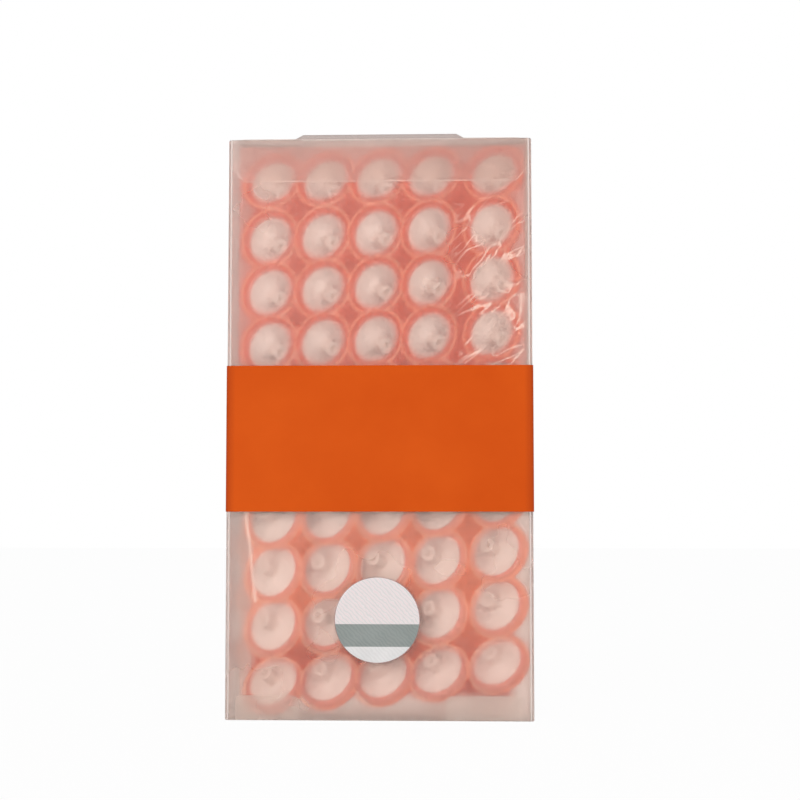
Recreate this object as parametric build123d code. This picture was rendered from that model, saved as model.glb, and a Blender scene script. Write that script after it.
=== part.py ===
from build123d import *
import math
import os

# A tall flip-top box folded from one frosted polypropylene sheet, with a card band round its waist.
# It holds syringe filters in four film bags: two in front, and two behind that are turned back to front.
# Origin at the middle of the box's base, +Z up, the front wall faces -Y. Millimetres and degrees.

# ---- syringe filter: a welded disc with a moulded ring, an inlet and an outlet ----
ring_diameter = 33.0
ring_thickness = 7.6
inlet_diameter = 8.0
inlet_length = 9.4
outlet_root_diameter = 6.4
outlet_tip_diameter = 4.2
outlet_length = 8.0
ring_sides = 18
stub_sides = 6

# ---- how the filters lie in a bag ----
columns = 5
rows = 5
lean_side = 28.0
lean_down = 16.9
end_lean_side = 25.0
end_lean_down = 29.0
ring_overlap = 3.7
row_gap = 0.6
bottom_row_pitch = 29.8
top_row_pitch = 28.0
seam_row_pitch = 26.6
upper_column_rise = 1.6
top_row_column_rise = 0.9
upper_last_column_gap = 5.0
lower_last_column_gap = 2.0
lower_column_rises = (0.0, 2.2, 4.0, 6.6, 10.9)

# ---- film bags ----
film = 0.2
filter_clearance = 0.3
bag_edge_radius = 5.0
bag_side_slack = 1.5
bag_gap = 0.5
lower_bag_wall_gap = 0.5
upper_bag_wall_gap = 2.0
side_room = 6.0

# ---- folded sheet box ----
sheet = 0.5
corner_radius = 2.0
seat_gap = 0.3
fold_gap = 0.15
dust_flap_length = 46.0
dust_flap_taper = 6.0
dust_flap_front_room = 5.0
dust_flap_back_gap = 0.6
base_tab_height = 12.7
base_tab_left_width = 33.0
base_tab_right_width = 40.0
base_tab_side_gap = 5.0

# ---- lid and its tuck flap ----
lid_side_gap = 0.4
flap_clearance = 0.5
flap_room = 1.5
flap_side_gap = 0.9
flap_height = 22.7
flap_shoulder = 14.8
flap_corner_cut = 6.5
flap_corner_radius = 2.5
tab_base_width = 90.0
tab_top_width = 81.0
tab_height = 2.4

# ---- band and round seal ----
band_thickness = 0.35
band_clearance = 0.1
band_bottom = 107.6
band_height = 76.4
seal_diameter = 44.5
seal_thickness = 0.15
seal_height = 51.6
seal_offset = -1.0


def axis_direction(side, down):
    """The way a filter's inlet points: towards the front, then turned to the right and down."""
    side, down = math.radians(side), math.radians(down)
    return Vector(math.sin(side) * math.cos(down), -math.cos(side) * math.cos(down), -math.sin(down))


def disc_reach(along):
    """How far a tilted ring reaches from its centre, where its axis has the share along of this direction."""
    return ring_diameter / 2 * math.sqrt(1 - along**2) + ring_thickness / 2 * abs(along)


def stub_reach(along, length, diameter):
    """How far the end of an inlet or outlet reaches from the ring's centre, as in disc_reach."""
    return (ring_thickness / 2 + length) * abs(along) + diameter / 2 * math.sqrt(1 - along**2)


# ---- sizes that follow ----
lean = axis_direction(lean_side, lean_down)
end_lean = axis_direction(end_lean_side, end_lean_down)
column_pitch = ring_diameter - ring_overlap
column_span = (columns - 1) * column_pitch
row_pitch = (ring_thickness + row_gap) / abs(lean.Z)
inner_rows_height = (rows - 3) * row_pitch

reach_x = max(disc_reach(lean.X), disc_reach(end_lean.X))
reach_z = disc_reach(end_lean.Z)
reach_front = max(stub_reach(a.Y, inlet_length, inlet_diameter) for a in (lean, end_lean))
reach_front = max(reach_front, disc_reach(lean.Y), disc_reach(end_lean.Y))
reach_back = max(stub_reach(a.Y, outlet_length, outlet_tip_diameter) for a in (lean, end_lean))
reach_back = max(reach_back, disc_reach(lean.Y), disc_reach(end_lean.Y))

bag_margin = filter_clearance + film
bag_width = column_span + bag_side_slack + 2 * (reach_x + bag_margin)
bag_depth = reach_front + reach_back + 2 * bag_margin

inner_width = bag_width + side_room
inner_depth = flap_clearance + sheet + flap_room + 2 * (bag_depth + seat_gap)
box_width = inner_width + 2 * sheet
box_depth = inner_depth + 2 * sheet

front_inside = -inner_depth / 2
flap_outer = front_inside + flap_clearance
flap_inner = flap_outer + sheet
front_bag_face = flap_inner + flap_room
rear_bag_face = front_bag_face + bag_depth + seat_gap

lower_centre_x = inner_width / 2 - lower_bag_wall_gap - bag_width / 2
upper_centre_x = inner_width / 2 - upper_bag_wall_gap - bag_width / 2
rear_centre_x = -lower_centre_x

# The lower bag stands on the base, and the sloped seam between the bags clears its highest column.
lower_bag_floor = sheet + seat_gap
lower_right_x = lower_centre_x + (column_span + bag_side_slack) / 2
lower_first_z = lower_bag_floor + bag_margin + reach_z
lower_last_z = lower_first_z + bottom_row_pitch + inner_rows_height + seam_row_pitch + lower_column_rises[-1]
seam_slope = lower_column_rises[-1] / column_span
seam_high_z = lower_last_z + reach_z + bag_margin + bag_gap / 2

# The upper bag rests on the seam, and the lid closes just above its top row.
upper_right_x = upper_centre_x + (column_span + bag_side_slack) / 2
upper_seam_z = seam_high_z + seam_slope * (upper_right_x - lower_right_x)
upper_first_z = upper_seam_z + bag_gap / 2 + bag_margin + reach_z
upper_last_z = upper_first_z + seam_row_pitch + inner_rows_height + top_row_pitch
upper_bag_top = upper_last_z + reach_z + bag_margin

dust_flap_bottom = upper_bag_top + seat_gap
wall_top = dust_flap_bottom + sheet
lid_bottom = wall_top + fold_gap
box_height = lid_bottom + sheet


def seam_z(x):
    """Height of the sloped seam between the lower and the upper bag."""
    return seam_high_z + seam_slope * (x - lower_right_x)


def slab(x, y, z):
    """A block between two values on each axis."""
    size = (x[1] - x[0], y[1] - y[0], z[1] - z[0])
    return Pos((x[0] + x[1]) / 2, (y[0] + y[1]) / 2, (z[0] + z[1]) / 2) * Box(*size)


def front_plate(outline, y, thickness):
    """An upright plate from an x, z outline, from y to y + thickness."""
    return extrude(Plane.XZ.offset(-y) * outline, -thickness)


# ---- filters ----
def stub(diameter, length, tip_diameter):
    """A luer fitting standing on the origin, towards +Z, narrowing to its tip."""
    taper = math.degrees(math.atan((diameter - tip_diameter) / 2 / length))
    return extrude(RegularPolygon(diameter / 2, stub_sides), length, taper=taper)


def make_filter():
    """One welded filter on its own axis: inlet towards +Z, outlet towards -Z, ring about the origin."""
    half = ring_thickness / 2
    ring = extrude(RegularPolygon(ring_diameter / 2, ring_sides), half, both=True)
    inlet = Pos(0, 0, half) * stub(inlet_diameter, inlet_length, inlet_diameter)
    outlet = Pos(0, 0, -half) * Rot(180, 0, 0) * stub(outlet_root_diameter, outlet_length, outlet_tip_diameter)
    return (ring + inlet + outlet).solid()


def column_offset(column, last_gap):
    """How far a column stands to the left of the last one, which stands a little apart."""
    if column == columns - 1:
        return 0
    return last_gap + (columns - 1 - column) * (column_span - last_gap) / (columns - 1)


def row_height(row, pitches):
    """Height of a row above the first one of its bag, where pitches are those of its first and last pair of rows."""
    if row == 0:
        return 0
    if row == rows - 1:
        return pitches[0] + inner_rows_height + pitches[1]
    return pitches[0] + (row - 1) * row_pitch


def upper_place(column, row):
    """Place in the upper front bag, counted from its lower left. The first and last row lean further.

    The top row has slid to the right and lies more level than the rows below it.
    """
    top = row == rows - 1
    x = upper_right_x - column_offset(column, upper_last_column_gap)
    rise = top_row_column_rise if top else upper_column_rise
    z = upper_first_z + row_height(row, (seam_row_pitch, top_row_pitch)) - (columns - 1 - column) * rise
    if not top:
        x -= bag_side_slack
    return (x, z), end_lean if row in (0, rows - 1) else lean


def lower_place(column, row):
    """Place in the lower front bag, which is packed the other way up: its filters face left and up."""
    x = lower_right_x - column_offset(column, lower_last_column_gap)
    z = lower_first_z + row_height(row, (bottom_row_pitch, seam_row_pitch)) + lower_column_rises[column]
    way = end_lean if row in (0, rows - 1) else lean
    return (x, z), Vector(-way.X, way.Y, -way.Z)


def filters(column, place):
    """The filters of one column in a front bag, as separate solids."""
    blank = make_filter()
    depth = front_bag_face + bag_margin + reach_front
    copies = []
    for row in range(rows):
        (x, z), direction = place(column, row)
        copies.append(Plane(origin=(x, depth, z), z_dir=direction).location * blank)
    return copies


def turned_round(centre_x):
    """The move that takes a front bag at centre_x to the rear, turned back to front."""
    back = front_bag_face + rear_bag_face + bag_depth
    return Pos(centre_x + rear_centre_x, back, 0) * Rot(0, 0, 180)


# ---- film bags ----
def soft_block(corners, inset=0.0):
    """A front bag's four-cornered shape with its long top and bottom edges rounded, shrunk all round by inset."""
    outline = Polygon(*corners, align=None)
    if inset:
        outline = offset(outline, amount=-inset, kind=Kind.INTERSECTION)
    block = front_plate(outline, front_bag_face + inset, bag_depth - 2 * inset)
    long_edges = [edge for edge in block.edges() if abs(edge.tangent_at(0.5).X) > 0.7]
    return fillet(long_edges, bag_edge_radius - inset)


def bag_corners(centre_x, floor, top):
    """Corners of a bag's outline, where floor and top give the height at a stated x."""
    left = centre_x - bag_width / 2
    right = centre_x + bag_width / 2
    return [(left, floor(left)), (right, floor(right)), (right, top(right)), (left, top(left))]


lower_corners = bag_corners(
    lower_centre_x,
    lambda x: lower_bag_floor,
    lambda x: seam_z(x) - bag_gap / 2,
)
upper_corners = bag_corners(
    upper_centre_x,
    lambda x: seam_z(x) + bag_gap / 2,
    lambda x: upper_bag_top,
)


def film_bag(corners):
    """A front bag: clear film, closed all round its filters."""
    return soft_block(corners) - soft_block(corners, film)


# ---- box ----
def body_outline(grow):
    """The box's rounded plan, grown outwards from its outer faces."""
    radius = corner_radius + grow
    return RectangleRounded(box_width + 2 * grow, box_depth + 2 * grow, radius)


def dust_flap():
    """The dust flap on the right wall, folded in under the lid."""
    front = flap_inner + dust_flap_front_room
    back = inner_depth / 2 - dust_flap_back_gap
    root = inner_width / 2 + sheet / 2
    tip = inner_width / 2 - dust_flap_length
    outline = Polygon(
        (root, front),
        (root, back),
        (tip, back - dust_flap_taper),
        (tip, front + dust_flap_taper),
        align=None,
    )
    return Pos(0, 0, dust_flap_bottom) * extrude(outline, sheet)


def base_tab(left, width):
    """A tab of the base, folded up and welded behind the front wall."""
    return slab((left, left + width), (front_inside - sheet / 2, front_inside + sheet), (0, base_tab_height))


def make_box_body():
    walls = extrude(body_outline(0), wall_top)
    inside = extrude(body_outline(-sheet), wall_top)
    body = walls - Pos(0, 0, sheet) * inside
    lip_x = box_width / 2 - corner_radius
    body += slab((-lip_x, lip_x), (-box_depth / 2, front_inside), (wall_top - sheet, box_height))
    body += dust_flap()
    body += mirror(dust_flap(), Plane.YZ)
    tab_edge = inner_width / 2 - base_tab_side_gap
    body += base_tab(-tab_edge, base_tab_left_width)
    body += base_tab(tab_edge - base_tab_right_width, base_tab_right_width)
    return body.solid()


# ---- lid and tuck flap ----
def make_lid():
    """The top panel, hinged on the back wall's top edge, with the notch that its pull tab was cut from."""
    front = flap_inner + fold_gap
    half = box_width / 2 - lid_side_gap
    panel = slab((-half, half), (front, box_depth / 2), (lid_bottom, box_height))
    notch = Polygon(
        (-tab_base_width / 2, front),
        (tab_base_width / 2, front),
        (tab_top_width / 2, front + tab_height),
        (-tab_top_width / 2, front + tab_height),
        align=None,
    )
    return (panel - Pos(0, 0, lid_bottom) * extrude(notch, sheet)).solid()


def make_tuck_flap():
    """The flap folded down from the lid's front edge behind the front wall, with the pull tab standing on its fold."""
    half = inner_width / 2 - flap_side_gap
    bottom = box_height - flap_height
    shoulder = box_height - flap_shoulder
    outline = Polygon(
        (-half + flap_corner_cut, bottom),
        (half - flap_corner_cut, bottom),
        (half, shoulder),
        (half, box_height),
        (tab_base_width / 2, box_height),
        (tab_top_width / 2, box_height + tab_height),
        (-tab_top_width / 2, box_height + tab_height),
        (-tab_base_width / 2, box_height),
        (-half, box_height),
        (-half, shoulder),
        align=None,
    )
    outline = fillet(outline.vertices().group_by(Axis.Y)[0], flap_corner_radius)
    return front_plate(outline, flap_outer, sheet).solid()


# ---- band and seal ----
def make_band():
    """The card band round all four walls."""
    inner = body_outline(band_clearance)
    outer = body_outline(band_clearance + band_thickness)
    return (Pos(0, 0, band_bottom) * extrude(outer - inner, band_height)).solid()


def make_seal():
    """The round seal on the front wall."""
    disc = Pos(seal_offset, seal_height) * Circle(seal_diameter / 2)
    return front_plate(disc, -box_depth / 2 - seal_thickness, seal_thickness).solid()


upper_bag = film_bag(upper_corners)
lower_bag = film_bag(lower_corners)
upper_turn = turned_round(upper_centre_x)
lower_turn = turned_round(lower_centre_x)

nodes = {
    "box_body": make_box_body(),
    "lid": make_lid(),
    "tuck_flap": make_tuck_flap(),
    "waist_band": make_band(),
    "round_seal": make_seal(),
    "front_upper_bag": upper_bag,
    "front_lower_bag": lower_bag,
    "rear_upper_bag": upper_turn * upper_bag,
    "rear_lower_bag": lower_turn * lower_bag,
}
for column in range(columns):
    upper = filters(column, upper_place)
    lower = filters(column, lower_place)
    nodes[f"filter_column_{column + 1}"] = Compound(children=upper + lower)
    behind = [upper_turn * each for each in upper] + [lower_turn * each for each in lower]
    nodes[f"rear_filter_column_{columns - column}"] = Compound(children=behind)

os.makedirs("parts", exist_ok=True)
for name, shape in nodes.items():
    export_step(shape, f"parts/{name}.step")

print(f"box {box_width:.2f} x {box_depth:.2f} x {box_height:.2f}, row pitch {row_pitch:.2f}")
print(f"lid hinge y {box_depth / 2:.3f} z {box_height:.3f}, flap fold y {flap_inner:.3f} z {lid_bottom:.3f}")
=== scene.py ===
import math
import random

import bmesh
import bpy
from mathutils import Matrix, Vector, noise


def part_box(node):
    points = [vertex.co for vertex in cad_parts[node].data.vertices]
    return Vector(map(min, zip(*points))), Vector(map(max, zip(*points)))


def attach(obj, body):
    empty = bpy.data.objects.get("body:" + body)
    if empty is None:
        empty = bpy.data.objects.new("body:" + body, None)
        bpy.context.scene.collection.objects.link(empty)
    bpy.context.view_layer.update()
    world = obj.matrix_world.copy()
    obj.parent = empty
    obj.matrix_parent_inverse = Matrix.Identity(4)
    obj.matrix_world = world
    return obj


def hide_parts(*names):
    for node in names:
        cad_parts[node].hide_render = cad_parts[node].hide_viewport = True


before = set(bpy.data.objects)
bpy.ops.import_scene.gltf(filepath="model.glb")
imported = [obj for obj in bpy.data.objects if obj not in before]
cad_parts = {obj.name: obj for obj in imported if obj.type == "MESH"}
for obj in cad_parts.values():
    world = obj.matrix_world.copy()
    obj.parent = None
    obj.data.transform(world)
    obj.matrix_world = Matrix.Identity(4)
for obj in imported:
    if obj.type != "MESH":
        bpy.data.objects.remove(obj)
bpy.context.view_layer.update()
MM = 0.001

# ---- what the CAD nodes say, in metres ----
body_low, body_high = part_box("box_body")
lid_low, lid_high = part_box("lid")
flap_low, flap_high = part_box("tuck_flap")
band_low, band_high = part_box("waist_band")
seal_low, seal_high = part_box("round_seal")
sheet = lid_high.z - lid_low.z
fold_gap = 0.15 * MM
half_width = body_high.x
half_depth = body_high.y
wall_top = lid_low.z - fold_gap
lip_top = body_high.z
inner_half_width = half_width - sheet
inner_half_depth = half_depth - sheet
seam_height = (band_low.z + band_high.z) / 2

# ---- sizes of the sheet's folds, in metres, as in the part's source ----
corner_radius = 2.0 * MM
dust_flap_length = 46.0 * MM
dust_flap_taper = 6.0 * MM
dust_flap_front_room = 5.0 * MM
dust_flap_back_gap = 0.6 * MM
base_tab_height = 12.7 * MM
base_tab_left_width = 33.0 * MM
base_tab_right_width = 40.0 * MM
base_tab_side_gap = 5.0 * MM
tab_base_width = 90.0 * MM
tab_top_width = 81.0 * MM
tab_height = 2.4 * MM
flap_shoulder = 14.8 * MM
flap_corner_cut = 6.5 * MM

# ---- sizes of the walls' finish, in metres ----
foot_rounding = 0.45 * MM
top_bevel = 0.06 * MM
wall_rows = 36
lip_inset = 2.3 * MM
ripple_height = 0.14 * MM
band_thickness = 0.35 * MM
band_rows = 10

# ---- sizes of a filter, in metres ----
ring_thickness = 7.6 * MM
ring_radius = 16.5 * MM
housing_radius = 13.7 * MM
inlet_length = 9.4 * MM
ring_segments = 48
housing_segments = 40
rib_count = 12

# ---- the film: its grid, its edges, its creases and the fold in the front lower bag ----
film_columns, film_rows = 150, 144
film_edge_rounding = 1.5 * MM
film_end_rounding = 3.0 * MM
dent_mean = 0.22
dent_swing = 0.2
fold_head = (-70.0 * MM, 107.0 * MM)
fold_foot = (-64.6 * MM, 60.0 * MM)
fold_width = 1.4 * MM
fold_height = 0.25 * MM
# What the mesh tells the film's material at each point, from 0 to 1.
film_marks = ("coral_cast", "rim_glint", "foot_shade", "fold_line", "creased")

# ---- studio ----
floor_size = 3.0
floor_drop = 0.05 * MM
floor_glow = 0.96
world_strength = 0.66
lamp_target = (0, 0, 0.14)
lamp_size = (0.9, 0.9)
lens = 69.1
camera_place = (0.0405, body_low.y - 0.8, 0.1122)
camera_pitch = 3.83
camera_turn = 2.122


# ---- shader helpers ----
def node(tree, kind, inputs=None, **settings):
    """A shader node with these settings. An input given as a socket is linked, and any other is set.

    A colour is given as r, g, b.
    """
    made = tree.nodes.new("ShaderNode" + kind)
    for key, value in settings.items():
        setattr(made, key, value)
    for key, value in (inputs or {}).items():
        entry = made.inputs[key]
        if isinstance(value, bpy.types.NodeSocket):
            tree.links.new(value, entry)
        else:
            entry.default_value = (*value, 1.0) if entry.type == "RGBA" else value
    return made


def material(name):
    """An empty node material, its tree, its output node and its object coordinates."""
    made = bpy.data.materials.new(name)
    made.use_nodes = True
    tree = made.node_tree
    tree.nodes.clear()
    output = node(tree, "OutputMaterial")
    coords = node(tree, "TexCoord").outputs["Object"]
    return made, tree, output, coords


def calculated(tree, operation, *values):
    """The result of a Math node on one to three values."""
    return node(tree, "Math", dict(enumerate(values)), operation=operation).outputs[0]


def noise_value(tree, coords, scale, detail=3.0, stretch=(1, 1, 1), distortion=0.0, turn=0.0):
    """Noise from 0 to 1. scale is in patterns per metre, and turn leans it about Y, in degrees."""
    values = {"Vector": coords, "Scale": stretch, "Rotation": (0.0, math.radians(turn), 0.0)}
    mapped = node(tree, "Mapping", values, vector_type="TEXTURE" if turn else "POINT").outputs[0]
    values = {"Vector": mapped, "Scale": scale, "Detail": detail, "Distortion": distortion}
    return node(tree, "TexNoise", values).outputs[0]


def ramp(tree, value, stops):
    """A colour ramp through (position, colour) stops."""
    made = node(tree, "ValToRGB", {"Fac": value})
    elements = made.color_ramp.elements
    while len(elements) < len(stops):
        elements.new(0.5)
    for element, (position, colour) in zip(elements, stops):
        element.position = position
        element.color = (*colour, 1.0)
    return made.outputs[0]


def spread(tree, value, low, high, start=0.0, end=1.0):
    """A value from start to end spread over low to high."""
    inputs = {"Value": value, "From Min": start, "From Max": end, "To Min": low, "To Max": high}
    return node(tree, "MapRange", inputs).outputs[0]


def mix_value(tree, factor, first, second):
    """first where factor is 0, second where it is 1."""
    return node(tree, "Mix", {0: factor, 2: first, 3: second}, data_type="FLOAT").outputs[0]


def mix_colour(tree, factor, first, second):
    """The same for colours."""
    return node(tree, "Mix", {0: factor, 6: first, 7: second}, data_type="RGBA").outputs[2]


def mix_shader(tree, factor, first, second):
    """The same for shaders."""
    return node(tree, "MixShader", {0: factor, 1: first, 2: second}).outputs[0]


def bump(tree, height, distance, strength):
    """A normal that stands for a relief of this distance, in metres."""
    return node(tree, "Bump", {"Height": height, "Distance": distance, "Strength": strength}).outputs[0]


def ray_is(tree, *kinds):
    """1 for a ray of one of these kinds, 0 for any other."""
    path = node(tree, "LightPath")
    found = path.outputs[kinds[0]]
    for kind in kinds[1:]:
        found = calculated(tree, "MAXIMUM", found, path.outputs[kind])
    return found


def lit_through(tree, shader, tint, share=1.0):
    """The shader, with this share of the lamps' light going on through it in a tint."""
    factor = ray_is(tree, "Is Shadow Ray")
    if share < 1:
        factor = calculated(tree, "MULTIPLY", factor, share)
    passing = node(tree, "BsdfTransparent", {"Color": tint}).outputs[0]
    return mix_shader(tree, factor, shader, passing)


# ---- materials ----
def frosted_sheet(name, low, high, transmission, roughness, above=None):
    """Satin polypropylene sheet: blurs what is behind it. Lamps reach what is inside.

    Its colour drifts between low and high. above is a height and the colour that it has from there up.
    """
    made, tree, output, coords = material(name)
    cloud = noise_value(tree, coords, 18.0)
    grain = noise_value(tree, coords, 900.0, detail=2.0)
    colour = ramp(tree, cloud, [(0.3, low), (0.7, high)])
    if above:
        height, upper_colour = above
        up = node(tree, "SeparateXYZ", {"Vector": coords}).outputs["Z"]
        colour = mix_colour(tree, calculated(tree, "GREATER_THAN", up, height), colour, upper_colour)
    shader = node(
        tree,
        "BsdfPrincipled",
        {
            "Base Color": colour,
            "Roughness": spread(tree, cloud, roughness - 0.03, roughness + 0.03),
            "IOR": 1.42,
            "Transmission Weight": transmission,
            "Specular IOR Level": 0.25,
            "Normal": bump(tree, grain, 0.02 * MM, 0.25),
        },
    )
    surface = lit_through(tree, shader.outputs[0], (1.0, 0.96, 0.94))
    tree.links.new(surface, output.inputs["Surface"])
    return made


def film_material(name, haze, ring_colour, ring_haze, rim_glint_share):
    """Clear bag film: a thin haze, the coral of the rings where it lies over them, glossy creases, and
    painted highlights and shade.

    The mesh says at each point how much coral shows (coral_cast), where a ring's rim gets a painted highlight
    (rim_glint), how much painted shade the coral takes at the bag's foot (foot_shade), where it is folded
    over (fold_line) and how plainly its slanting wrinkles show (creased); the fold's line and the wrinkles'
    ridges get a painted highlight.
    """
    made, tree, output, coords = material(name)
    cast, rim_glint, foot_shade, fold_line, creased = [
        node(tree, "Attribute", attribute_name=mark).outputs["Fac"] for mark in film_marks
    ]
    rim_glint = calculated(tree, "MULTIPLY", rim_glint, rim_glint_share)
    cloud = noise_value(tree, coords, 60.0, 4.0, (1.0, 1.0, 2.2), 0.6)
    soft_folds = noise_value(tree, coords, 150.0, 3.0, (1.0, 1.0, 0.45), 1.2)
    streaks = noise_value(tree, coords, 95.0, 3.0, (3.2, 1.0, 1.0), 0.9, turn=-38.0)

    # A wrinkle's ridge runs wherever the streaks cross their middle value; it and the fold's line are painted
    # lighter, as a highlight.
    from_ridge = calculated(tree, "ABSOLUTE", calculated(tree, "SUBTRACT", streaks, 0.5))
    ridge_glint = spread(tree, from_ridge, 1.0, 0.0, end=0.03)
    ridge_glint = calculated(tree, "MULTIPLY_ADD", ridge_glint, creased, fold_line)

    # Painted shade: the coral darkens towards the bag's foot.
    ring_shade = mix_colour(tree, foot_shade, ring_colour, (0.55, 0.06, 0.02))
    colour = mix_colour(tree, cast, (0.97, 0.83, 0.78), ring_shade)
    # Painted highlight: a lighter peach line along each ring's rim.
    colour = mix_colour(tree, rim_glint, colour, (0.97, 0.52, 0.33))
    # Painted highlight: lighter film along the wrinkles' ridges and the fold's line.
    colour = mix_colour(tree, ridge_glint, colour, (1.0, 0.84, 0.76))

    thin = spread(tree, cloud, haze * 0.7, haze * 1.3)
    over_rings = spread(tree, cloud, ring_haze * 0.8, ring_haze * 1.2)
    density = mix_value(tree, cast, thin, over_rings)
    # The painted highlights also thicken the haze.
    density = calculated(tree, "MULTIPLY_ADD", ridge_glint, 0.24, density)
    density = calculated(tree, "MULTIPLY_ADD", rim_glint, 0.2, density)

    normal = bump(tree, soft_folds, 0.6 * MM, 0.6)
    hazy = node(
        tree,
        "BsdfPrincipled",
        {"Base Color": colour, "Roughness": 0.5, "Specular IOR Level": 0.2, "Normal": normal},
    )
    clear = node(tree, "BsdfTransparent", {"Color": (0.97, 0.96, 0.95)})
    body = mix_shader(tree, density, clear.outputs[0], hazy.outputs[0])
    gloss = node(tree, "BsdfAnisotropic", {"Color": (1.0, 0.97, 0.94), "Roughness": 0.2, "Normal": normal})
    edge_on = node(tree, "Fresnel", {"IOR": 1.45, "Normal": normal}).outputs[0]
    glossy = calculated(tree, "MULTIPLY", edge_on, 0.4)
    tree.links.new(mix_shader(tree, glossy, body, gloss.outputs[0]), output.inputs["Surface"])
    return made


def plastic(
    name, low, high, roughness, coat=0.0, through=0.0, glow=0.0, grain_scale=700.0, grain_depth=0.02 * MM
):
    """Moulded plastic with slow colour drift, fine grain and a soft gloss.

    through is the share of the lamps' light that goes on through it, and glow the share that it scatters.
    """
    made, tree, output, coords = material(name)
    cloud = noise_value(tree, coords, 70.0)
    grain = noise_value(tree, coords, grain_scale, detail=2.0)
    colour = ramp(tree, cloud, [(0.32, low), (0.68, high)])
    shader = node(
        tree,
        "BsdfPrincipled",
        {
            "Base Color": colour,
            "Roughness": spread(tree, cloud, roughness - 0.05, roughness + 0.05),
            "Coat Weight": coat,
            "Coat Roughness": 0.2,
            "Normal": bump(tree, grain, grain_depth, 0.5),
        },
    )
    surface = shader.outputs[0]
    if through:
        back_lit = node(tree, "BsdfTranslucent", {"Color": colour}).outputs[0]
        surface = lit_through(tree, mix_shader(tree, glow, surface, back_lit), high, through)
    tree.links.new(surface, output.inputs["Surface"])
    return made


def card_material():
    """Printed card: flat orange ink with a faint fibre, and painted shade that darkens it along its folds."""
    made, tree, output, coords = material("orange_card")
    fibre = noise_value(tree, coords, 1400.0, stretch=(0.35, 0.35, 1.0))
    cloud = noise_value(tree, coords, 25.0)
    ink = ramp(tree, cloud, [(0.3, (0.62, 0.078, 0.005)), (0.7, (0.675, 0.094, 0.007))])
    across = node(tree, "SeparateXYZ", {"Vector": coords}).outputs["X"]
    outward = calculated(tree, "ABSOLUTE", across)
    # Painted shade: the ink darkens towards the folds at the box's corners.
    fold = spread(tree, outward, 0.0, 1.0, start=half_width - 4.5 * MM, end=half_width - 0.5 * MM)
    shader = node(
        tree,
        "BsdfPrincipled",
        {
            "Base Color": mix_colour(tree, fold, ink, (0.5, 0.062, 0.006)),
            "Roughness": spread(tree, fibre, 0.5, 0.64),
            "Specular IOR Level": 0.05,
            "Normal": bump(tree, fibre, 0.03 * MM, 0.5),
        },
    )
    tree.links.new(shader.outputs[0], output.inputs["Surface"])
    return made


def seal_material():
    """Foil label: pale and faintly iridescent above, a grey bar, plain white below and a dark rim."""
    made, tree, output, coords = material("seal_label")
    middle = (seal_low + seal_high) / 2
    bar_top = middle.z - 2.1 * MM
    bar_bottom = middle.z - 13.7 * MM
    rim_start = (seal_high.x - seal_low.x) / 2 - 0.35 * MM
    up = node(tree, "SeparateXYZ", {"Vector": coords}).outputs["Z"]
    cloud = noise_value(tree, coords, 90.0)
    waves = node(
        tree,
        "TexWave",
        {"Vector": coords, "Scale": 260.0, "Distortion": 5.0, "Detail": 2.0, "Detail Scale": 1.2},
        wave_type="BANDS",
        bands_direction="DIAGONAL",
    ).outputs["Fac"]
    foil_stops = [(0.2, (0.72, 0.68, 0.67)), (0.55, (0.82, 0.79, 0.78)), (0.9, (0.8, 0.68, 0.68))]
    foil = ramp(tree, waves, foil_stops)
    bar = ramp(tree, cloud, [(0.3, (0.235, 0.265, 0.25)), (0.7, (0.275, 0.305, 0.29))])
    white = ramp(tree, cloud, [(0.3, (0.72, 0.71, 0.7)), (0.7, (0.78, 0.77, 0.76))])
    colour = mix_colour(tree, calculated(tree, "LESS_THAN", up, bar_top), foil, bar)
    colour = mix_colour(tree, calculated(tree, "LESS_THAN", up, bar_bottom), colour, white)
    from_middle = node(tree, "VectorMath", {0: coords, 1: tuple(middle)}, operation="SUBTRACT").outputs[0]
    in_plane = node(tree, "VectorMath", {0: from_middle, 1: (1.0, 0.0, 1.0)}, operation="MULTIPLY").outputs[0]
    radius = node(tree, "VectorMath", {0: in_plane}, operation="LENGTH").outputs["Value"]
    at_rim = calculated(tree, "GREATER_THAN", radius, rim_start)
    colour = mix_colour(tree, at_rim, colour, (0.36, 0.2, 0.18))
    shader = node(
        tree,
        "BsdfPrincipled",
        {
            "Base Color": colour,
            "Roughness": spread(tree, waves, 0.22, 0.34),
            "Coat Weight": 0.3,
            "Coat Roughness": 0.12,
            "Normal": bump(tree, waves, 0.02 * MM, 0.5),
        },
    )
    tree.links.new(shader.outputs[0], output.inputs["Surface"])
    return made


sheet_light = (0.95, 0.865, 0.825)
sheet_dark = (0.925, 0.835, 0.79)
# The tab above the flap's crease is darker, and the sides beside the upper bags are warmer with painted coral
# light bounced from the filters.
darker_above_crease = (flap_high.z - tab_height, (0.52, 0.44, 0.41))
painted_coral_bounce = (seam_height, (0.93, 0.73, 0.65))
frosted = frosted_sheet("frosted_sheet", sheet_dark, sheet_light, 0.975, 0.28)
frosted_flap = frosted_sheet("frosted_flap", (0.89, 0.79, 0.75), (0.93, 0.84, 0.8), 0.93, 0.24, darker_above_crease)
# Painted coral light bounced onto the side walls above the seam.
frosted_side = frosted_sheet(
    "frosted_side", (0.92, 0.82, 0.78), (0.95, 0.86, 0.82), 0.8, 0.3, painted_coral_bounce
)
frosted_base = frosted_sheet("frosted_base", (0.87, 0.83, 0.8), (0.91, 0.88, 0.85), 0.85, 0.3)
flap_rim = frosted_sheet("flap_rim", (0.92, 0.84, 0.8), (0.95, 0.88, 0.84), 0.6, 0.3, darker_above_crease)
frosted_edge = frosted_sheet("frosted_edge", (0.79, 0.7, 0.66), (0.84, 0.76, 0.72), 0.35, 0.4)
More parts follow.
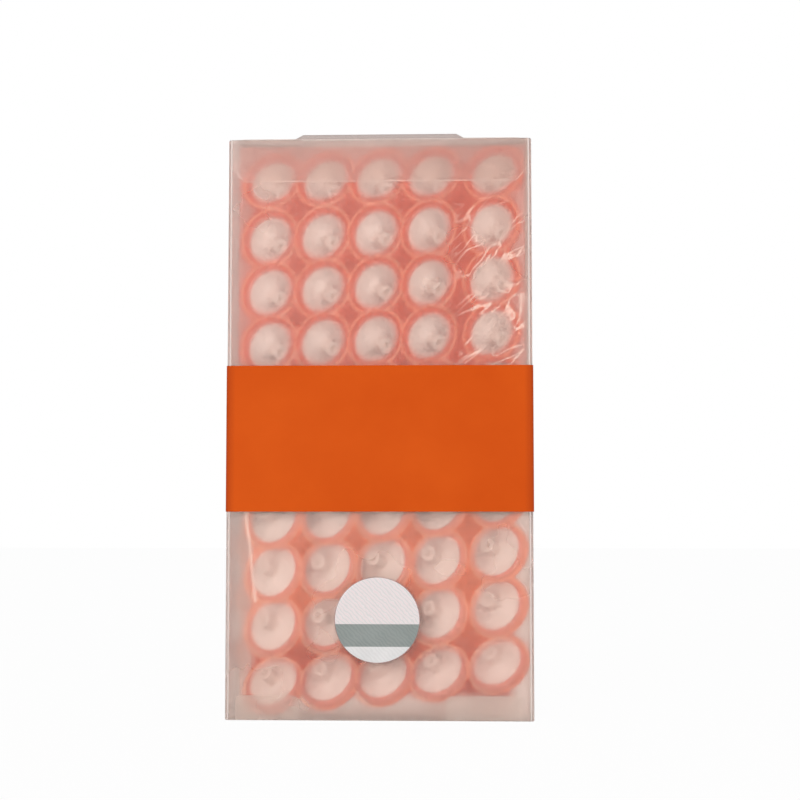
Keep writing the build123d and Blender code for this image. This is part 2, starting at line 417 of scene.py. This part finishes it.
# The upper bags' coral is darker than the lower bags', as painted shade.
film_upper = film_material("film_upper", 0.08, (0.66, 0.075, 0.018), 0.64, 0.45)
film_lower = film_material("film_lower", 0.15, (0.9, 0.205, 0.075), 0.52, 0.6)
coral = plastic("coral_ring", (0.84, 0.15, 0.07), (0.94, 0.21, 0.1), 0.35, coat=0.15, through=0.6, glow=0.25)
# Painted highlight: lighter coral for the rings' edges.
coral_edge_glint = plastic("coral_edge_glint", (0.95, 0.33, 0.18), (0.98, 0.42, 0.25), 0.35, through=0.6, glow=0.25)
housing = plastic("white_housing", (0.95, 0.88, 0.84), (0.98, 0.93, 0.9), 0.4, through=0.85, glow=0.1)
inlet = plastic("inlet", (0.92, 0.83, 0.79), (0.95, 0.87, 0.83), 0.4, through=0.85, glow=0.25)
orange = card_material()
card_back = plastic(
    "card_back", (0.7, 0.66, 0.6), (0.78, 0.74, 0.68), 0.8, grain_scale=1200.0, grain_depth=0.04 * MM
)


# ---- mesh helpers ----
def add_piece(name, vertices, faces, materials, body, slot, marks=None, replaces=()):
    """A mesh piece that rides on a body. marks gives each face's material, where there are several."""
    mesh = bpy.data.meshes.new(name)
    mesh.from_pydata([tuple(v) for v in vertices], [], faces)
    for entry in materials:
        mesh.materials.append(entry)
    if marks:
        mesh.polygons.foreach_set("material_index", marks)
    work = bmesh.new()
    work.from_mesh(mesh)
    bmesh.ops.recalc_face_normals(work, faces=work.faces)
    work.to_mesh(mesh)
    work.free()
    mesh.update()
    piece = bpy.data.objects.new(name, mesh)
    bpy.context.scene.collection.objects.link(piece)
    mesh.shade_smooth()
    mesh.set_sharp_from_angle(angle=math.radians(35))
    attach(piece, body)
    if replaces:
        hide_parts(*replaces)
    return piece


def placed(geometry, matrix):
    """The geometry, which is its vertices and faces, moved by a matrix."""
    vertices, faces = geometry
    return [matrix @ v for v in vertices], faces


def joined(geometries):
    """Several vertex and face lists as one."""
    vertices, faces = [], []
    for part_vertices, part_faces in geometries:
        base = len(vertices)
        vertices += part_vertices
        faces += [tuple(i + base for i in face) for face in part_faces]
    return vertices, faces


def upright(y):
    """Turns a flat outline's x, y into x, z and puts it at this y, growing towards +Y."""
    return Matrix(((1, 0, 0, 0), (0, 0, 1, y), (0, 1, 0, 0), (0, 0, 0, 1)))


def block(x, y, z):
    """A plain block between two values on each axis, for ribs and lugs."""
    vertices = [Vector((a, b, c)) for a in x for b in y for c in z]
    faces = [(0, 1, 3, 2), (4, 6, 7, 5), (0, 4, 5, 1), (2, 3, 7, 6), (0, 2, 6, 4), (1, 5, 7, 3)]
    return vertices, faces


def lathe(profile, segments):
    """A closed solid turned about Z from an (r, z) profile, in metres."""
    vertices, rings = [], []
    for r, z in profile:
        if r == 0:
            rings.append([len(vertices)])
            vertices.append(Vector((0, 0, z)))
            continue
        rings.append(list(range(len(vertices), len(vertices) + segments)))
        for step in range(segments):
            turn = 2 * math.pi * step / segments
            vertices.append(Vector((r * math.cos(turn), r * math.sin(turn), z)))
    pairs = list(zip(rings, rings[1:]))
    if profile[0][0] != 0:
        pairs.append((rings[-1], rings[0]))
    faces = []
    for a, b in pairs:
        for step in range(segments):
            after = (step + 1) % segments
            if len(a) == 1:
                faces.append((a[0], b[step], b[after]))
            elif len(b) == 1:
                faces.append((a[after], a[step], b[0]))
            else:
                faces.append((a[step], b[step], b[after], a[after]))
    return vertices, faces


def rounded(outline, radii, steps=5):
    """The outline's corners rounded by arcs, each with its own radius. A radius of 0 keeps a corner."""
    points = []
    count = len(outline)
    for index, corner in enumerate(outline):
        here = Vector(corner)
        before = (Vector(outline[index - 1]) - here).normalized()
        after = (Vector(outline[(index + 1) % count]) - here).normalized()
        radius = radii[index]
        if not radius:
            points.append(here)
            continue
        half_angle = before.angle(after) / 2
        reach = radius / math.tan(half_angle)
        middle = here + (before + after).normalized() * radius / math.sin(half_angle)
        start = (here + before * reach - middle).normalized()
        end = (here + after * reach - middle).normalized()
        for step in range(steps + 1):
            points.append(middle + start.slerp(end, step / steps) * radius)
    return points


def is_convex(outline):
    """Whether every corner of the outline turns the same way."""
    signs = set()
    count = len(outline)
    for index, point in enumerate(outline):
        a = point - outline[index - 1]
        b = outline[(index + 1) % count] - point
        turn = a.x * b.y - a.y * b.x
        if abs(turn) > 1e-14:
            signs.add(turn > 0)
    return len(signs) < 2


def plate(outline, thickness, bevel=0.08 * MM, border=0.0):
    """A flat sheet with its outline in x, y, from z 0 to thickness, with bevelled edges.

    A border wider than 0 sets off the rim of both faces. The two middle faces come first.
    """
    count = len(outline)
    middle = sum(outline, Vector((0, 0))) / count
    convex = is_convex(outline)
    levels = [(0, bevel), (bevel, 0), (thickness - bevel, 0), (thickness, bevel)]
    if border:
        levels = [(0, border)] + levels + [(thickness, border)]
    vertices = []
    for height, inset in levels:
        for index, point in enumerate(outline):
            before = point - outline[index - 1]
            after = outline[(index + 1) % count] - point
            normal = Vector((before.y, -before.x)).normalized() + Vector((after.y, -after.x)).normalized()
            normal.normalize()
            if convex and normal.dot(point - middle) < 0:
                normal = -normal
            moved = point - normal * inset
            vertices.append(Vector((moved.x, moved.y, height)))
    last = len(levels) - 1
    faces = [tuple(range(count))[::-1], tuple(range(last * count, (last + 1) * count))]
    for level in range(last):
        for index in range(count):
            a = level * count + index
            b = level * count + (index + 1) % count
            faces.append((a, b, b + count, a + count))
    return vertices, faces


def double_wall(count, rows):
    """Faces of a closed loop of wall, whose outer and inner sides each have rows of count points.

    Pairs of an outer and an inner face come first, row by row, and then the pairs that close it below
    and above.
    """
    inner = rows * count
    top = inner - count
    faces = []
    for row in range(rows - 1):
        for index in range(count):
            a = row * count + index
            b = row * count + (index + 1) % count
            faces.append((a, b, b + count, a + count))
            faces.append((inner + b, inner + a, inner + a + count, inner + b + count))
    for index in range(count):
        after = (index + 1) % count
        faces.append((index, inner + index, inner + after, after))
        faces.append((top + index, top + after, inner + top + after, inner + top + index))
    return faces


# ---- box walls: one folded loop with a raised front lip ----
def wall_path():
    """Plan points round the box, each with its outward normal and whether it is on a score line."""
    points = []
    straight_x, straight_y = half_width - corner_radius, half_depth - corner_radius
    corners = [(1, -1, -90), (1, 1, 0), (-1, 1, 90), (-1, -1, 180)]
    for side, (sx, sy, angle) in enumerate(corners):
        centre = Vector((sx * straight_x, sy * straight_y))
        for step in range(9):
            turn = math.radians(angle + 90 * step / 8)
            normal = Vector((math.cos(turn), math.sin(turn)))
            points.append((centre + normal * corner_radius, normal, step in (1, 7)))
        next_x, next_y, _ = corners[(side + 1) % 4]
        end = Vector((next_x * straight_x, next_y * straight_y))
        normal = Vector((math.cos(math.radians(angle + 90)), math.sin(math.radians(angle + 90))))
        start = centre + normal * corner_radius
        finish = end + normal * corner_radius
        divisions = 24 if side % 2 else 8
        for step in range(1, divisions):
            points.append((start.lerp(finish, step / divisions), normal, False))
    return points


def wave(x, z, normal):
    """How far the sheet stands out or in, in metres: a slow ripple that dies out at the folds and ends."""
    edge = min(1.0, (half_width - abs(x)) / (12 * MM)) if abs(normal.y) > 0.9 else 0.4
    ends = min(1.0, z / (20 * MM), (wall_top - z) / (40 * MM))
    ripple = noise.noise(Vector((x * 14, z * 11, normal.y * 7 + normal.x * 3)))
    return ripple * ripple_height * max(0.0, edge) * max(0.0, ends)


def make_walls():
    """Vertices, faces and marks: 0 on the front and back, 1 on edges and folds, 2 on the sides."""
    path = wall_path()
    count = len(path)
    # Heights, each with its inset in mm: rounded at the foot and with a hair of bevel at the top.
    levels = [(0.0, 0.45), (0.12 * MM, 0.16), (foot_rounding, 0.0)]
    rise = wall_top - 0.8 * MM
    levels += [(foot_rounding + rise * k / wall_rows, 0.0) for k in range(1, wall_rows + 1)]
    levels += [(wall_top - top_bevel, 0.0), (wall_top, 0.06)]
    vertices = []
    for outer in (True, False):
        for z, inset in levels:
            for point, normal, scored in path:
                in_lip = abs(point.x) < half_width - lip_inset and point.y < 0
                height = z + (lip_top - wall_top) if in_lip and z > wall_top - 0.1 * MM else z
                if outer:
                    out = -inset * MM - (0.07 * MM if scored else 0)
                else:
                    out = -sheet + (inset * MM if inset < 0.1 else 0) - (0.03 * MM if scored else 0)
                place = point + normal * (out + wave(point.x, z, normal))
                vertices.append(Vector((place.x, place.y, height)))
    marks = []
    for _ in levels[1:]:
        for (_, normal, scored), (_, next_normal, next_scored) in zip(path, path[1:] + path[:1]):
            at_side = abs(normal.x) > 0.99 and abs(next_normal.x) > 0.99
            marks += [1 if scored or next_scored else 2 if at_side else 0] * 2
    marks += [1, 1] * count
    return vertices, double_wall(count, len(levels)), marks


wall_vertices, wall_faces, wall_marks = make_walls()
add_piece(
    "box_walls",
    wall_vertices,
    wall_faces,
    [frosted, frosted_edge, frosted_side],
    "box",
    "frosted_sheet",
    wall_marks,
    replaces=["box_body"],
)


# ---- base: two panels locked together, and the tabs behind the front wall ----
def make_base():
    """The front panel, whose tongue reaches into the back panel's notch."""
    gap = 0.15 * MM
    x, y = inner_half_width - gap, inner_half_depth - gap
    seam = -2 * MM
    tongue, slant, reach = 22 * MM, 4 * MM, 5 * MM
    front = [
        (-x, -y),
        (x, -y),
        (x, seam),
        (tongue, seam),
        (tongue - slant, reach),
        (-tongue + slant, reach),
        (-tongue, seam),
        (-x, seam),
    ]
    back = [
        (x, y),
        (x, seam + gap),
        (tongue + gap, seam + gap),
        (tongue - slant + gap, reach + gap),
        (-tongue + slant - gap, reach + gap),
        (-tongue - gap, seam + gap),
        (-x, seam + gap),
        (-x, y),
    ]
    return joined([plate([Vector(p) for p in panel], sheet * 0.96, 0.05 * MM) for panel in (front, back)])


def tab_plate(left, width):
    """A glued tab that stands up from the base behind the front wall."""
    bottom = 0.6 * MM
    right = left + width
    outline = [(left, bottom), (right, bottom), (right, base_tab_height), (left, base_tab_height)]
    shape = rounded(outline, [0, 0, 3 * MM, 3 * MM])
    return placed(plate(shape, sheet * 0.8), upright(-inner_half_depth + 0.08 * MM))


def base_tabs():
    """The two tabs, near the front wall's ends."""
    edge = inner_half_width - base_tab_side_gap
    left = tab_plate(-edge, base_tab_left_width)
    right = tab_plate(edge - base_tab_right_width, base_tab_right_width)
    return joined([left, right])


add_piece("box_base", *make_base(), [frosted_base], "box", "frosted_sheet")
add_piece("base_tabs", *base_tabs(), [frosted_base], "box", "frosted_sheet")


# ---- dust flaps ----
def dust_flap(side):
    """The flap under the lid at one side: 1 for +X, -1 for -X."""
    front = flap_high.y + dust_flap_front_room
    back = inner_half_depth - dust_flap_back_gap
    root = inner_half_width - 0.1 * MM
    tip = inner_half_width - dust_flap_length
    outline = [(root, front), (root, back), (tip, back - dust_flap_taper), (tip, front + dust_flap_taper)]
    outline = [(side * x, y) for x, y in outline]
    shape = rounded(outline, [1 * MM, 1 * MM, 5 * MM, 5 * MM])
    return placed(plate(shape, sheet), Matrix.Translation((0, 0, wall_top - sheet)))


add_piece("dust_flaps", *joined([dust_flap(1), dust_flap(-1)]), [frosted], "box", "frosted_sheet")


# ---- lid and tuck flap ----
def make_lid():
    """The top panel, with the pull tab on its front edge."""
    front, back = lid_low.y, lid_high.y
    half = lid_high.x
    outline = [
        (-half, front),
        (-tab_base_width / 2, front),
        (-tab_top_width / 2, front + tab_height),
        (tab_top_width / 2, front + tab_height),
        (tab_base_width / 2, front),
        (half, front),
        (half, back),
        (-half, back),
    ]
    shape = rounded(outline, [0.6 * MM, 0, 0.8 * MM, 0.8 * MM, 0, 0.6 * MM, 0.3 * MM, 0.3 * MM])
    return placed(plate(shape, sheet), Matrix.Translation((0, 0, lid_low.z)))


def make_flap():
    """The tucked panel with its cut corners, and the tab that stands above its crease."""
    half = flap_high.x
    bottom = flap_low.z
    crease = flap_high.z - tab_height
    shoulder = crease - flap_shoulder
    outline = [
        (-half + flap_corner_cut, bottom),
        (half - flap_corner_cut, bottom),
        (half, shoulder),
        (half, crease),
        (tab_base_width / 2, crease),
        (tab_top_width / 2, flap_high.z),
        (-tab_top_width / 2, flap_high.z),
        (-tab_base_width / 2, crease),
        (-half, crease),
        (-half, shoulder),
    ]
    radii = [2.5 * MM, 2.5 * MM, 2 * MM, 0.3 * MM, 0, 1.2 * MM, 1.2 * MM, 0, 0.3 * MM, 2 * MM]
    return placed(plate(rounded(outline, radii), sheet, border=0.4 * MM), upright(flap_low.y))


add_piece("lid_panel", *make_lid(), [frosted], "lid", "frosted_sheet", replaces=["lid"])
flap_vertices, flap_faces = make_flap()
add_piece(
    "tuck_panel",
    flap_vertices,
    flap_faces,
    [frosted_flap, flap_rim],
    "flap",
    "frosted_sheet",
    # The rim, for every face but the two middle ones.
    [0, 0] + [1] * (len(flap_faces) - 2),
    replaces=["tuck_flap"],
)


# ---- waist band ----
def make_band():
    """Vertices, faces and marks: 0 for the printed side, 1 for the back and the cut edges."""
    path = wall_path()
    clearance = band_high.x - half_width - band_thickness
    levels = [band_low.z + (band_high.z - band_low.z) * k / band_rows for k in range(band_rows + 1)]
    vertices = []
    for offset in (clearance + band_thickness, clearance):
        for z in levels:
            for point, normal, scored in path:
                inward = 0.03 * MM if scored and offset > clearance else 0
                place = point + normal * (offset - inward)
                vertices.append(Vector((place.x, place.y, z)))
    marks = [0, 1] * (band_rows * len(path)) + [1, 1] * len(path)
    return vertices, double_wall(len(path), len(levels)), marks


band_vertices, band_faces, band_marks = make_band()
add_piece(
    "waist_card",
    band_vertices,
    band_faces,
    [orange, card_back],
    "box",
    "orange_card",
    band_marks,
    replaces=["waist_band"],
)


# ---- round seal ----
def make_seal():
    """A thin disc with a rolled edge."""
    middle = (seal_low + seal_high) / 2
    radius = (seal_high.x - seal_low.x) / 2
    thickness = seal_high.y - seal_low.y
    # Shares of the radius and of the thickness, from the front's middle to the back's.
    profile = [(0, 0.0), (0.2, 0.0), (0.5, 0.0), (0.8, 0.0), (0.96, 0.0), (0.995, 0.15), (1.0, 0.5)]
    profile += [(0.995, 0.9), (0.96, 1.0), (0.5, 1.0), (0, 1.0)]
    disc = lathe([(radius * out, thickness * depth) for out, depth in profile], 96)
    return placed(disc, Matrix.Translation((middle.x, 0, middle.z)) @ upright(seal_low.y))


add_piece("seal_disc", *make_seal(), [seal_material()], "box", "seal_label", replaces=["round_seal"])


# ---- syringe filters ----
def read_filters(name):
    """The centre and inlet direction of each filter in a CAD column, from its solids, lowest first."""
    work = bmesh.new()
    work.from_mesh(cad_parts[name].data)
    bmesh.ops.remove_doubles(work, verts=work.verts, dist=1e-6)
    work.verts.ensure_lookup_table()
    seen, found = set(), []
    for start in work.verts:
        if start in seen:
            continue
        island, todo = [], [start]
        seen.add(start)
        while todo:
            here = todo.pop()
            island.append(here.co.copy())
            for edge in here.link_edges:
                other = edge.other_vert(here)
                if other not in seen:
                    seen.add(other)
                    todo.append(other)
        found.append(filter_pose(island))
    work.free()
    return sorted(found, key=lambda pose: pose[0].z)


def filter_pose(points):
    """The centre of a filter's ring and the unit vector towards its inlet, from the solid's points."""
    middle = sum(points, Vector()) / len(points)
    offsets = [p - middle for p in points]
    covariance = [[sum(p[i] * p[j] for p in offsets) for j in range(3)] for i in range(3)]
    # The axis is the direction in which the points spread least: inverse power iteration.
    inverse = Matrix(covariance).inverted()
    axis = Vector((0.3, -0.9, 0.2))
    for _ in range(60):
        axis = (inverse @ axis).normalized()
    along = [p.dot(axis) for p in offsets]
    low, high = min(along), max(along)

    def end_radius(value):
        end = [p for p, a in zip(offsets, along) if abs(a - value) < 1e-5]
        return max((p - axis * p.dot(axis)).length for p in end)

    # The inlet is the wider of the two ends.
    if end_radius(low) > end_radius(high):
        axis = -axis
        low, high = -high, -low
    inlet_end = middle + axis * high
    return inlet_end - axis * (ring_thickness / 2 + inlet_length), axis


def scaled(profile):
    """An (r, z) profile in mm, in metres."""
    return [(r * MM, z * MM) for r, z in profile]


def make_filter():
    """One filter in parts, as (geometry, marks) pairs.

    The marks are 0 for the housing, 1 for the ring, 2 for its edges, which are painted lighter as a
    highlight, and 3 for the inlet.
    """
    inlet_profile = [
        (0, 8.4),
        (0.7, 8.4),
        (1.1, 9.0),
        (1.75, 12.9),
        (2.0, 13.2),
        (3.8, 13.2),
        (3.98, 13.0),
        (3.7, 9.2),
        (3.75, 3.0),
        (0, 2.9),
    ]
    housing_profile = [
        (0, 4.4),
        (3.9, 4.4),
        (4.6, 4.0),
        (5.8, 3.7),
        (6.4, 3.35),
        (6.8, 3.15),
        (13.1, 3.1),
        (14.2, 3.1),
        (14.2, -2.7),
        (13.1, -2.7),
        (5.6, -2.75),
        (5.0, -3.9),
        (3.2, -4.2),
        (3.0, -4.9),
        (2.12, -11.45),
        (1.95, -11.8),
        (1.25, -11.8),
        (1.15, -11.55),
        (1.15, -5.6),
        (0, -5.6),
    ]
    ring_profile = [
        (13.7, 2.4),
        (13.75, 3.3),
        (14.05, 3.72),
        (15.1, 3.8),
        (15.8, 3.62),
        (16.3, 3.1),
        (16.5, 2.2),
        (16.5, 0.3),
        (16.38, 0.0),
        (16.5, -0.3),
        (16.5, -2.2),
        (16.3, -3.1),
        (15.8, -3.62),
        (15.1, -3.8),
        (14.05, -3.72),
        (13.75, -3.3),
        (13.7, -2.4),
    ]
    # The bands of the ring's profile that are painted lighter, as a highlight on its edges.
    ring_edges = (1, 4, 5, 10, 11, 14)
    ring = lathe(scaled(ring_profile), ring_segments)
    ring_marks = [2 if index // ring_segments in ring_edges else 1 for index in range(len(ring[1]))]
    parts = [(ring, ring_marks)]

    def add(geometry, mark, count=1, start=0.0):
        """The geometry once, or count times round the axis."""
        for index in range(count):
            turn = Matrix.Rotation(start + 2 * math.pi * index / count, 4, "Z")
            parts.append((placed(geometry, turn), [mark] * len(geometry[1])))

    add(lathe(scaled(housing_profile), housing_segments), 0)
    add(lathe(scaled(inlet_profile), housing_segments), 3)
    front_rib = block((6.9 * MM, 11.8 * MM), (-0.3 * MM, 0.3 * MM), (2.8 * MM, 3.4 * MM))
    back_rib = block((5.4 * MM, 11.8 * MM), (-0.3 * MM, 0.3 * MM), (-3.15 * MM, -2.4 * MM))
    luer_lug = block((3.4 * MM, 3.98 * MM), (-1.5 * MM, 1.5 * MM), (12.0 * MM, 13.0 * MM))
    fin = block((2.4 * MM, 4.5 * MM), (-0.35 * MM, 0.35 * MM), (3.6 * MM, 6.0 * MM))
    add(front_rib, 0, rib_count)
    add(back_rib, 0, rib_count)
    add(luer_lug, 3, 2)
    add(fin, 3, 4, math.pi / 4)
    return parts


filter_parts = make_filter()
random.seed(7)


def filter_matrix(centre, axis, spin):
    """Puts a filter's centre and axis in place, turned about the axis by spin."""
    turn = axis.to_track_quat("Z", "Y").to_matrix().to_4x4()
    return Matrix.Translation(centre) @ turn @ Matrix.Rotation(spin, 4, "Z")


def add_filters(name, poses, replaces):
    """A column of filters as one piece."""
    geometries, marks = [], []
    for centre, axis in poses:
        matrix = filter_matrix(centre, axis, random.uniform(0, math.pi))
        for geometry, part_marks in filter_parts:
            geometries.append(placed(geometry, matrix))
            marks += part_marks
    materials = [housing, coral, coral_edge_glint, inlet]
    add_piece(name, *joined(geometries), materials, "box", "filter_housing", marks, replaces=replaces)


layer_poses = {"front": [], "rear": []}
for column in range(1, 6):
    for layer, node_name in (("front", f"filter_column_{column}"), ("rear", f"rear_filter_column_{column}")):
        poses = read_filters(node_name)
        layer_poses[layer] += poses
        add_filters(f"filters_{layer}_{column}", poses, [node_name])

centres = [centre for poses in layer_poses.values() for centre, axis in poses]
outer_column = max(abs(centre.x) for centre in centres)
bottom_row = min(centre.z for centre in centres)
top_row = max(centre.z for centre in centres)


# ---- film bags ----
def rim(distance, width):
    """0 at the edge, 1 from width inwards, round in between."""
    share = min(1.0, distance / width)
    return math.sqrt(1 - (1 - share) ** 2)


def step_up(value, low, high):
    """0 below low, 1 above high, smooth in between."""
    share = min(1.0, max(0.0, (value - low) / (high - low)))
    return share * share * (3 - 2 * share)


def line(value, middle, reach):
    """1 at the middle, 0 from reach away on."""
    return 1.0 - step_up(abs(value - middle), 0.0, reach)


def foot_shading(z):
    """1 at a bag's foot, where the film takes painted shade, and 0 well above it."""
    foot = seam_height if z > seam_height else bottom_row
    return 1.0 - step_up(z, foot, foot + 45 * MM)


def wrinkled(x, z):
    """1 in the part of the upper bags where the film's slanting wrinkles get painted highlights, 0 elsewhere.
    """
    across = step_up(x, 34 * MM, 52 * MM)
    above_foot = step_up(z, seam_height, seam_height + 20 * MM)
    below_top = 1.0 - step_up(z, top_row - 30 * MM, top_row - 8 * MM)
    return across * above_foot * below_top


def on_fold(x, z):
    """How near a place is to the line along which the front lower bag is folded: 1 on it, 0 beside it."""
    lean = (fold_foot[0] - fold_head[0]) / (fold_foot[1] - fold_head[1])
    off = x - fold_head[0] - lean * (z - fold_head[1])
    ends = step_up(z, fold_foot[1] - 3 * MM, fold_foot[1] + 3 * MM)
    return ends * line(off, 0.0, fold_width)


def coral_cast(x, z, poses, over_ring, inward, beyond):
    """How the film shows the rings at a place: the share of their coral, and of the painted highlight on
    their rims.

    The coral is over_ring on a ring. It fades out over a housing, within inward of the ring's inner edge,
    but for a veil of painted shade at each bag's foot. In a gap between filters it is whole: the rings'
    coral, partly painted coral light that fills the shade there. Outside the outermost centres
    it falls to over_ring beside a ring, and to beyond away from any.
    """
    nearest, proudest, over = 9.0, -9.0, None
    for centre, axis in poses:
        across, up = x - centre.x, z - centre.z
        if max(abs(across), abs(up)) > 30 * MM:
            continue
        # The place on the filter's own plane, seen from the front or from the back.
        back = -(axis.x * across + axis.z * up) / axis.y
        radius = math.hypot(math.hypot(across, up), back)
        nearest = min(nearest, radius)
        proud = (centre.y + back) * math.copysign(1.0, axis.y)
        if radius < ring_radius and proud > proudest:
            proudest, over = proud, radius
    if over is not None:
        # Painted shade: a coral veil over the housings near the bag's foot.
        veil = 0.18 * foot_shading(z)
        cast = veil + (over_ring - veil) * step_up(over, housing_radius - inward, housing_radius + 0.8 * MM)
        # The second value is the painted highlight on the ring's rim.
        return cast, line(over, ring_radius - 0.4 * MM, 1.1 * MM)
    # Within the columns, the gaps get whole coral: the rings' coral, partly painted coral light filling the
    # shade.
    outside = max(abs(x) - outer_column, 0.0, z - top_row, bottom_row - z)
    inside = 1.0 - step_up(outside, 2 * MM, 9 * MM)
    away = 1.0 - step_up(nearest, ring_radius, ring_radius + 3 * MM)
    cast = inside + (1 - inside) * (beyond + (over_ring - beyond) * away)
    # Beside a ring, the painted rim highlight runs along its outer edge.
    return cast, line(nearest, ring_radius, 0.8 * MM)


def creased_in(x, z, seed):
    """How far the film is dented at a place, in metres, by broad creases with finer ones on them."""
    broad = noise.noise(Vector((x * 45 + seed, z * 30, 0.0)))
    fine = noise.noise(Vector((x * 110, z * 60 + seed, 3.0)))
    return (dent_mean + dent_swing * max(-1.0, min(1.0, broad + 0.5 * fine))) * MM


def bag_sides(name, low, high):
    """The lowest and the highest point of a bag's outline, on its left and on its right side."""
    sides = []
    for edge in (low.x, high.x):
        heights = [v.co.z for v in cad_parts[name].data.vertices if abs(v.co.x - edge) < 1e-5]
        sides.append((min(heights), max(heights)))
    return sides


def make_film(name, poses, over_ring, inward, beyond):
    """The bag's film: its CAD outline with a soft pillow edge, creased, and its value of each film mark."""
    low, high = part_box(name)
    left, right = bag_sides(name, low, high)
    width = high.x - low.x
    centre_y = (low.y + high.y) / 2
    half_y = (high.y - low.y) / 2
    seed = len(name) * 1.7 + low.y * 100
    folded = name == "front_lower_bag"
    vertices, faces, values, grid = [], [], [], {}

    def shell_point(u, v, side):
        """The film at shares u and v of the bag's width and height, on its front (-1) or its back (1)."""
        x = low.x + width * u
        bottom = left[0] + (right[0] - left[0]) * u
        top = left[1] + (right[1] - left[1]) * u
        z = bottom + (top - bottom) * v
        soft_edge = rim(min(u, 1 - u) * width, film_edge_rounding)
        soft_end = rim(min(v, 1 - v) * (top - bottom), film_end_rounding)
        depth = half_y * soft_edge * soft_end
        depth = max(depth - creased_in(x, z, seed) * min(1.0, depth / (3 * MM)), 0.0)
        if folded and side < 0:
            depth += fold_height * on_fold(x, z)
        return Vector((x, centre_y + side * depth, z))

    def marks_at(x, z):
        """The values of film_marks at a place, in their order."""
        cast, rim_glint = coral_cast(x, z, poses, over_ring, inward, beyond)
        return cast, rim_glint, foot_shading(z), on_fold(x, z) if folded else 0.0, 0.06 + 0.94 * wrinkled(x, z)

    def grid_index(i, j, side):
        """The index of a grid point, which front and back share along the bag's rim."""
        on_rim = i in (0, film_columns) or j in (0, film_rows)
        key = (i, j, 0 if on_rim else side)
        if key not in grid:
            grid[key] = len(vertices)
            point = shell_point(i / film_columns, j / film_rows, -1 if on_rim else side)
            vertices.append(point)
            values.append(marks_at(point.x, point.z))
        return grid[key]

    for side in (-1, 1):
        for i in range(film_columns):
            for j in range(film_rows):
                corners = ((i, j), (i + 1, j), (i + 1, j + 1), (i, j + 1))
                quad = tuple(grid_index(*corner, side) for corner in corners)
                faces.append(quad if side < 0 else quad[::-1])
    return vertices, faces, dict(zip(film_marks, zip(*values)))


# For the upper and the lower bags: the film, and over_ring, inward and beyond for coral_cast.
bag_films = {
    "upper": (film_upper, 1.0, 5.8 * MM, 0.7),
    "lower": (film_lower, 0.75, 2.4 * MM, 0.03),
}
for layer in ("front", "rear"):
    for level, (film, *shares) in bag_films.items():
        bag = f"{layer}_{level}_bag"
        bag_vertices, bag_faces, mark_values = make_film(bag, layer_poses[layer], *shares)
        piece = add_piece(
            f"{layer}_{level}_film", bag_vertices, bag_faces, [film], "box", "clear_film", replaces=[bag]
        )
        for mark, numbers in mark_values.items():
            piece.data.attributes.new(mark, "FLOAT", "POINT").data.foreach_set("value", numbers)


# ---- stage, light and camera ----
def make_floor():
    """A broad floor that looks nearly white to the camera and is plain diffuse to all other light."""
    mesh = bpy.data.meshes.new("floor")
    corners = ((-1, -1), (1, -1), (1, 1), (-1, 1))
    mesh.from_pydata([(x * floor_size, y * floor_size, -floor_drop) for x, y in corners], [], [(0, 1, 2, 3)])
    made, tree, output, _ = material("floor")
    plain = node(tree, "BsdfDiffuse", {"Color": (0.86, 0.86, 0.86)}).outputs[0]
    glow = node(tree, "Emission", {"Color": (1, 1, 1), "Strength": 1.0}).outputs[0]
    share = calculated(tree, "MULTIPLY", ray_is(tree, "Is Camera Ray", "Is Transmission Ray"), floor_glow)
    tree.links.new(mix_shader(tree, share, plain, glow), output.inputs["Surface"])
    mesh.materials.append(made)
    floor = bpy.data.objects.new("floor", mesh)
    bpy.context.scene.collection.objects.link(floor)


def make_world():
    """Soft light from all round, which looks white wherever it is seen or mirrored."""
    world = bpy.data.worlds.new("studio")
    bpy.context.scene.world = world
    world.use_nodes = True
    tree = world.node_tree
    tree.nodes.clear()
    output = node(tree, "OutputWorld")
    seen = ray_is(tree, "Is Camera Ray", "Is Transmission Ray", "Is Glossy Ray")
    lit = node(tree, "Background", {"Color": (0.98, 0.99, 1.0), "Strength": world_strength}).outputs[0]
    white = node(tree, "Background", {"Color": (1, 1, 1), "Strength": 1.0}).outputs[0]
    tree.links.new(mix_shader(tree, seen, lit, white), output.inputs["Surface"])


def add_lamp(name, location, power):
    """A square area lamp aimed at the box."""
    data = bpy.data.lights.new(name, "AREA")
    data.shape = "RECTANGLE"
    data.size, data.size_y = lamp_size
    data.energy = power
    lamp = bpy.data.objects.new(name, data)
    lamp.location = location
    lamp.rotation_euler = (Vector(lamp_target) - Vector(location)).to_track_quat("-Z", "Y").to_euler()
    bpy.context.scene.collection.objects.link(lamp)


def make_camera():
    """The camera, in front of the box and right of its middle, tilted up and turned towards it a little."""
    data = bpy.data.cameras.new("camera")
    data.lens = lens
    data.sensor_width = 36.0
    camera = bpy.data.objects.new("camera", data)
    camera.location = camera_place
    camera.rotation_euler = (math.radians(90 + camera_pitch), 0, math.radians(camera_turn))
    bpy.context.scene.collection.objects.link(camera)
    bpy.context.scene.camera = camera


make_floor()
make_world()
add_lamp("key", (-0.9, -1.6, 0.6), 9.7)
add_lamp("fill", (1.1, -1.3, 0.3), 7.0)
make_camera()
bpy.context.scene.view_settings.view_transform = "Standard"
